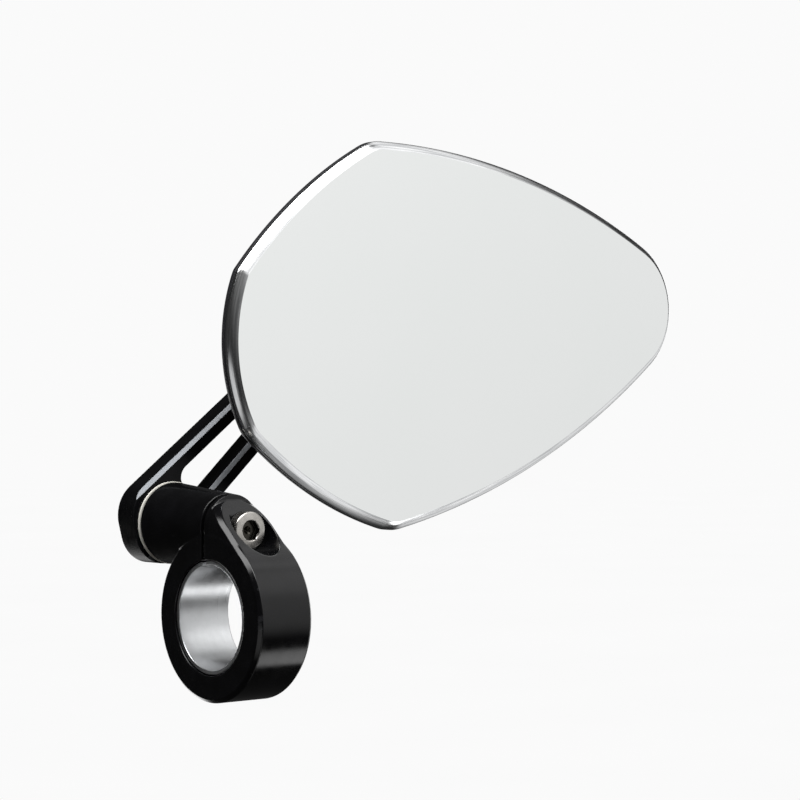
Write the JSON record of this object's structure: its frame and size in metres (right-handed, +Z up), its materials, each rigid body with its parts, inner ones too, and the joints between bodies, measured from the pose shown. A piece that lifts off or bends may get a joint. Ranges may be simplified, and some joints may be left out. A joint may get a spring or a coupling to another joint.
{
  "type": "bar-end mirror",
  "caption": "Glassless bar-end mirror: polished metal plate on a ball joint, milled two-strut arm and split ring clamp for a handlebar end.",
  "frame": {"origin": "on the handlebar's axis, in the clamp ring's grip-side face", "axes": "+X outboard along the bar, +Y forward, away from the rider (the mirror faces -Y), +Z up"},
  "size_m": [0.1521, 0.0508, 0.1228],
  "materials": {
    "black_anodised": "gloss black anodised, milled",
    "polished_mirror": "polished metal face with a bright bevelled rim",
    "stainless_steel": "plain stainless",
    "clear_anodised": "clear anodised",
    "bearing_polymer": "natural nylon",
    "bonding_pad": "foam adhesive",
    "bronze": "sintered bronze"
  },
  "bodies": {
    "clamp": {"clamp_body": "black_anodised", "bar_sleeve": "clear_anodised", "clamp_screw": "stainless_steel", "clamp_washer": "stainless_steel", "friction_washer": "bearing_polymer", "pivot_screw": "stainless_steel", "thrust_washer": "stainless_steel", "disc_spring": "stainless_steel"},
    "swing_arm": {"arm": "black_anodised", "pivot_bush": "bronze"},
    "ball": {"ball_stud": "stainless_steel", "stud_washer": "stainless_steel", "stud_nut": "stainless_steel"},
    "liner": {"liner_front": "bearing_polymer", "liner_rear": "bearing_polymer"},
    "head": {"head_shell": "black_anodised", "retainer_ring": "black_anodised", "retainer_screw_1": "stainless_steel", "retainer_screw_2": "stainless_steel", "retainer_screw_3": "stainless_steel", "tension_screw": "stainless_steel", "adhesive_pad": "bonding_pad", "mirror_plate": "polished_mirror", "locating_pin_1": "stainless_steel", "locating_pin_2": "stainless_steel"}
  },
  "joints": [
    {"name": "arm_swing", "type": "hinge", "parent": "clamp", "child": "swing_arm", "pos_m": [0.00695, 0.0231, 0.019], "axis": [0, 1, 0], "range_deg": [-60, 40]},
    {"name": "head_turn", "type": "hinge", "parent": "swing_arm", "child": "ball", "pos_m": [0.0535, 0.0148, 0.0615], "axis": [0, 1, 0], "range_deg": [-15, 15]},
    {"name": "head_pan", "type": "hinge", "parent": "ball", "child": "liner", "pos_m": [0.0535, 0.0148, 0.0615], "axis": [0, 0, 1], "range_deg": [-12, 12]},
    {"name": "head_tilt", "type": "hinge", "parent": "liner", "child": "head", "pos_m": [0.0535, 0.0148, 0.0615], "axis": [1, 0, 0], "range_deg": [-12, 12]}
  ]
}
